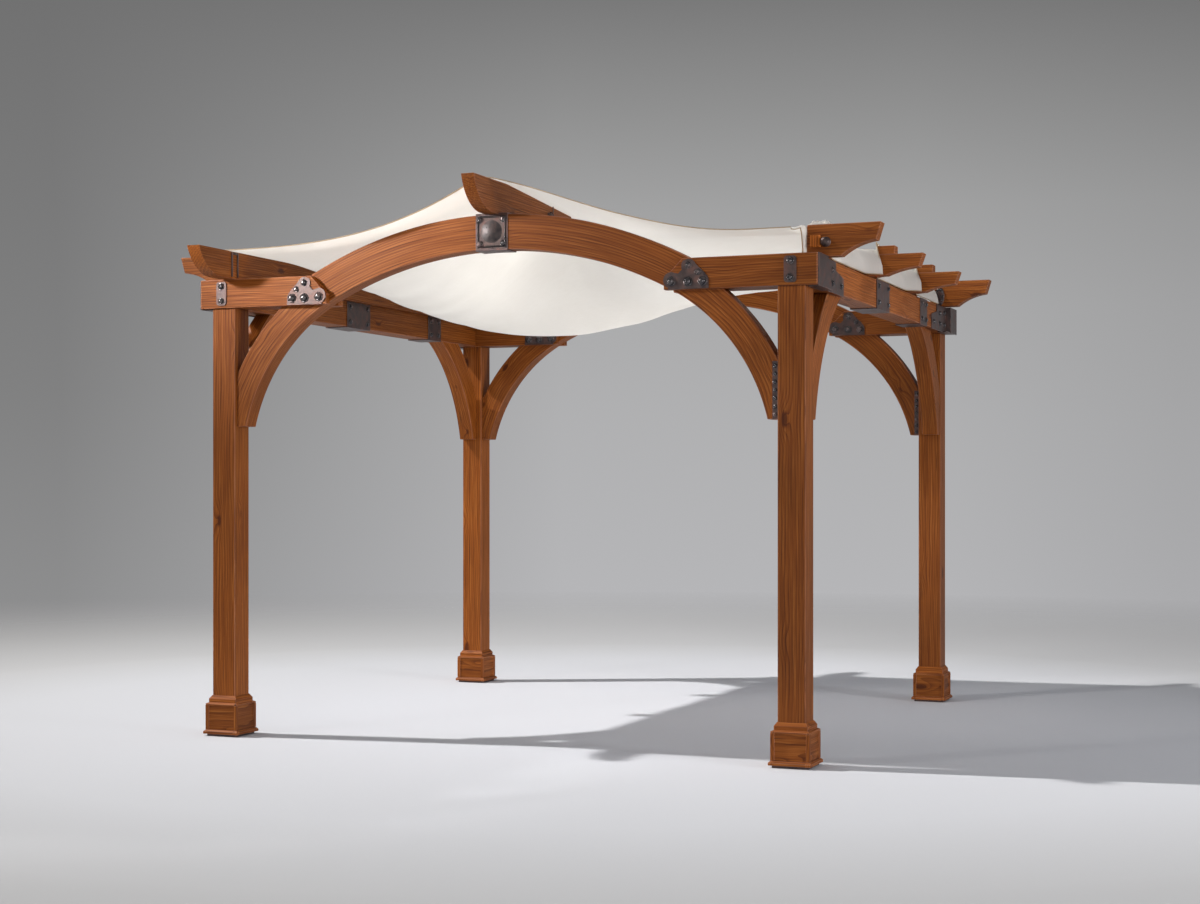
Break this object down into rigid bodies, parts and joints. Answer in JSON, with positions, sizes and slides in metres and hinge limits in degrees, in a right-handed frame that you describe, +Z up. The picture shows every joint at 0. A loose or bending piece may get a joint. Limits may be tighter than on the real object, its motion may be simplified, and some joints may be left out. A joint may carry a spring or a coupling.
{
  "type": "open garden gazebo with cloth canopy",
  "caption": "Open timber garden gazebo with curved arches and braces on boxed post plinths, dark iron plates, coved roof tails and a slung pale cloth canopy.",
  "frame": {"origin": "on the ground at the middle of the footprint", "axes": "+X to the right along the front, +Y from front to back, +Z up"},
  "size_m": [3.98, 3.936, 2.9173],
  "materials": {
    "frame_timber": "warm reddish brown stain, satin",
    "trim_timber": "warm reddish brown stain, satin",
    "ironwork": "dark brown gunmetal, satin",
    "canopy_cloth": "plain off-white weave with a tan hem"
  },
  "bodies": {
    "root": {"post_front_left": "frame_timber", "post_front_right": "frame_timber", "post_rear_left": "frame_timber", "post_rear_right": "frame_timber", "plinth_front_left": "frame_timber", "plinth_front_right": "frame_timber", "plinth_rear_left": "frame_timber", "plinth_rear_right": "frame_timber", "plinth_caps": "trim_timber", "plinth_shoes": "trim_timber", "post_pads": "ironwork", "front_beam_left": "frame_timber", "front_beam_right": "frame_timber", "rear_beam_left": "frame_timber", "rear_beam_right": "frame_timber", "front_arch_left": "frame_timber", "front_arch_right": "frame_timber", "rear_arch_left": "frame_timber", "rear_arch_right": "frame_timber", "front_brace_left": "frame_timber", "front_brace_right": "frame_timber", "rear_brace_left": "frame_timber", "rear_brace_right": "frame_timber", "side_beam_left": "frame_timber", "side_beam_right": "frame_timber", "side_brace_front_left": "frame_timber", "side_brace_front_right": "frame_timber", "side_brace_rear_left": "frame_timber", "side_brace_rear_right": "frame_timber", "front_ridge_tail": "frame_timber", "rear_ridge_tail": "frame_timber", "left_purlin": "frame_timber", "right_purlin": "frame_timber", "left_corner_tails": "frame_timber", "right_corner_tails": "frame_timber", "left_middle_tails": "frame_timber", "right_middle_tails": "frame_timber", "clamp_blocks": "trim_timber", "apex_saddles": "ironwork", "beam_gussets": "ironwork", "post_straps": "ironwork", "corner_brackets": "ironwork", "side_straps": "ironwork", "brace_foot_plates": "ironwork", "canopy": "canopy_cloth"}
  },
  "joints": []
}
